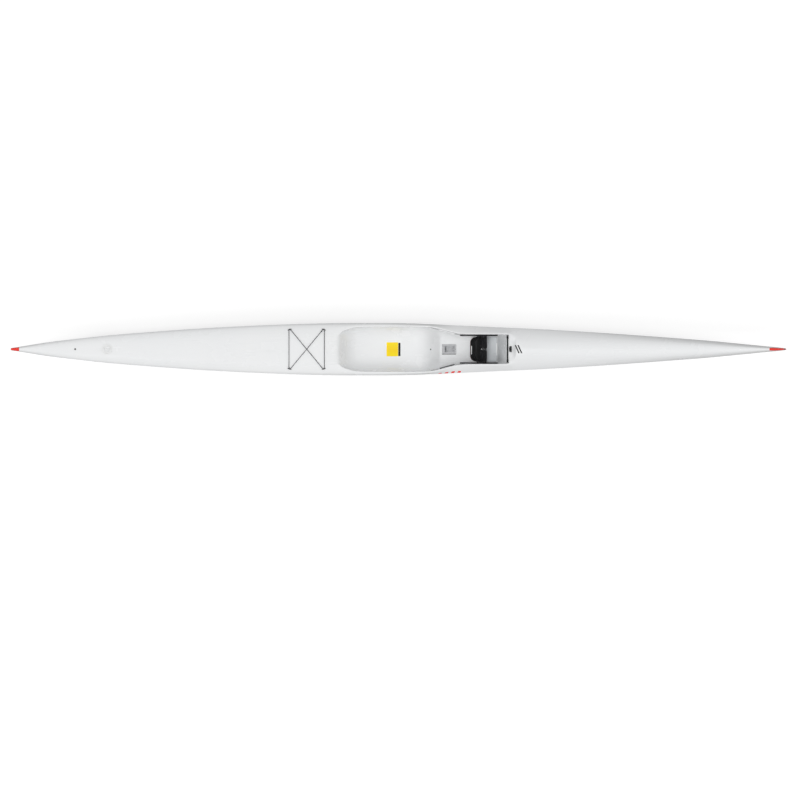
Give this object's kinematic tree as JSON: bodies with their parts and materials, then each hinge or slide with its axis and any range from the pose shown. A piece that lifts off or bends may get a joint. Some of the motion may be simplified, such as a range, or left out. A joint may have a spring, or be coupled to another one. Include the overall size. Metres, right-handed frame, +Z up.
{
  "type": "surfski",
  "caption": "Long narrow sit-on-top racing surfski with an open seat bucket and footwell, a sliding footrest with toe pedals, an under-stern rudder, a self bailer and a rear deck bungee.",
  "frame": {"origin": "lowest point of the keel, amidships, half way between bow and stern", "axes": "+X towards the bow, +Y to port, +Z up"},
  "size_m": [6.4, 0.43, 0.581],
  "materials": {
    "white_gelcoat": "gloss",
    "red_gelcoat": "gloss",
    "rudder_laminate": "satin",
    "black_plastic": "satin",
    "light_plastic": "satin",
    "cast_aluminium": "satin",
    "stainless": "brushed",
    "rubber": "matt",
    "elastic_cord": "matt",
    "rudder_cord": "matt",
    "webbing": "matt"
  },
  "bodies": {
    "ski": {"hull_shell": "white_gelcoat", "deck_shell": "white_gelcoat", "stern_tip": "red_gelcoat", "bow_tip": "red_gelcoat", "rudder_tube": "light_plastic", "lower_rudder_bush": "light_plastic", "upper_rudder_bush": "light_plastic", "hatch_ring": "light_plastic", "hatch_seal": "rubber", "drain_socket": "light_plastic", "port_aft_pad_eye": "black_plastic", "starboard_fore_pad_eye": "black_plastic", "port_fore_pad_eye": "black_plastic", "starboard_aft_pad_eye": "black_plastic", "deck_bungee": "elastic_cord", "bailer_frame": "stainless", "bailer_pin": "stainless", "port_rail": "black_plastic", "starboard_rail": "black_plastic", "port_rudder_line": "rudder_cord", "starboard_rudder_line": "rudder_cord", "port_guide_tube": "light_plastic", "starboard_guide_tube": "light_plastic", "port_line_sleeve": "black_plastic", "starboard_line_sleeve": "black_plastic", "port_bar_foot": "black_plastic", "starboard_bar_foot": "black_plastic", "front_bar": "black_plastic", "leash_eye": "black_plastic"},
    "rudder": {"rudder_blade": "rudder_laminate", "rudder_stock": "stainless", "tiller": "cast_aluminium", "tiller_screw": "stainless"},
    "hatch_lid": {"hatch_cover": "light_plastic"},
    "drain_stopper": {"drain_plug": "rubber"},
    "bailer_flap": {"bailer_chute": "stainless"},
    "bailer_handle": {"bailer_lever": "stainless"},
    "footrest": {"footplate": "black_plastic", "pedal_rod": "stainless", "port_slider": "black_plastic", "starboard_slider": "black_plastic", "foot_strap": "webbing"},
    "port_toe_pedal": {"port_pedal": "black_plastic"},
    "starboard_toe_pedal": {"starboard_pedal": "black_plastic"},
    "port_latch": {"port_pawl": "stainless"},
    "starboard_latch": {"starboard_pawl": "stainless"}
  },
  "joints": [
    {"name": "rudder_swing", "type": "hinge", "parent": "ski", "child": "rudder", "pos_m": [-2.405, 0, 0.07], "axis": [0, 0, 1], "range_deg": [-30, 30], "deforming": ["port_rudder_line", "starboard_rudder_line"]},
    {"name": "port_pedal_swing", "type": "hinge", "parent": "footrest", "child": "port_toe_pedal", "pos_m": [0.68767, 0, 0.14274], "axis": [0, 1, 0], "range_deg": [-24, 24], "deforming": ["port_rudder_line"]},
    {"name": "starboard_pedal_swing", "type": "hinge", "parent": "footrest", "child": "starboard_toe_pedal", "pos_m": [0.68767, 0, 0.14274], "axis": [0, 1, 0], "range_deg": [-24, 24], "deforming": ["starboard_rudder_line"]},
    {"name": "footrest_slide", "type": "slide", "parent": "ski", "child": "footrest", "axis": [1, 0, 0], "range_m": [-0.126, 0.09], "deforming": ["port_rudder_line", "starboard_rudder_line"]},
    {"name": "port_pawl_release", "type": "hinge", "parent": "footrest", "child": "port_latch", "pos_m": [0.678, 0.11, 0.108], "axis": [0, -1, 0], "range_deg": [0, 12], "stiffness_Nm_per_rad": 0.05, "springref_deg": -17.19},
    {"name": "starboard_pawl_release", "type": "hinge", "parent": "footrest", "child": "starboard_latch", "pos_m": [0.678, -0.11, 0.108], "axis": [0, -1, 0], "range_deg": [0, 12], "stiffness_Nm_per_rad": 0.05, "springref_deg": -17.19},
    {"name": "bailer_lever_turn", "type": "hinge", "parent": "ski", "child": "bailer_handle", "pos_m": [0.38, 0, 0.029], "axis": [0, -1, 0], "range_deg": [0, 90]},
    {"name": "bailer_chute_drop", "type": "hinge", "parent": "ski", "child": "bailer_flap", "pos_m": [0.4582, 0, 0.007], "axis": [0, -1, 0], "range_deg": [0, 12.5]},
    {"name": "hatch_turn", "type": "hinge", "parent": "ski", "child": "hatch_lid", "pos_m": [-2.405, 0, 0.198], "axis": [0, 0, 1], "range_deg": [0, 90]},
    {"name": "drain_plug_pull", "type": "slide", "parent": "ski", "child": "drain_stopper", "axis": [0, 0, 1], "range_m": [0, 0.016]}
  ],
  "couplings": [
    {"joint": "port_pedal_swing", "follows": "rudder_swing", "ratio": -0.77},
    {"joint": "starboard_pedal_swing", "follows": "rudder_swing", "ratio": 0.77},
    {"joint": "bailer_chute_drop", "follows": "bailer_lever_turn", "ratio": 0.1333}
  ]
}
